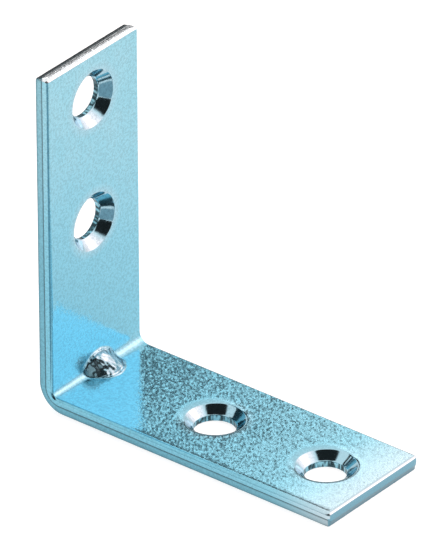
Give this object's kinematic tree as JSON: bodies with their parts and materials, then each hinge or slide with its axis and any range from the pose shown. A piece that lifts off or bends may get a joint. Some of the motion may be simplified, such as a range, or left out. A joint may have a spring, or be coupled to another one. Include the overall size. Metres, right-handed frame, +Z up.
{
  "type": "corner brace",
  "caption": "Folded steel strip with a right angle, countersunk screw holes in each leg and a stiffening dimple in the fold, to brace an inside or outside corner.",
  "frame": {"origin": "under the middle of the whole brace, on the surface that the foot rests on", "axes": "+Z up the upright, +X along the foot from the fold to its free end, +Y across the strip"},
  "size_m": [0.0396, 0.015, 0.0405],
  "materials": {
    "zinc_plate": "bright blue zinc plate, fine grain"
  },
  "bodies": {
    "root": {"corner_brace": "zinc_plate"}
  },
  "joints": []
}
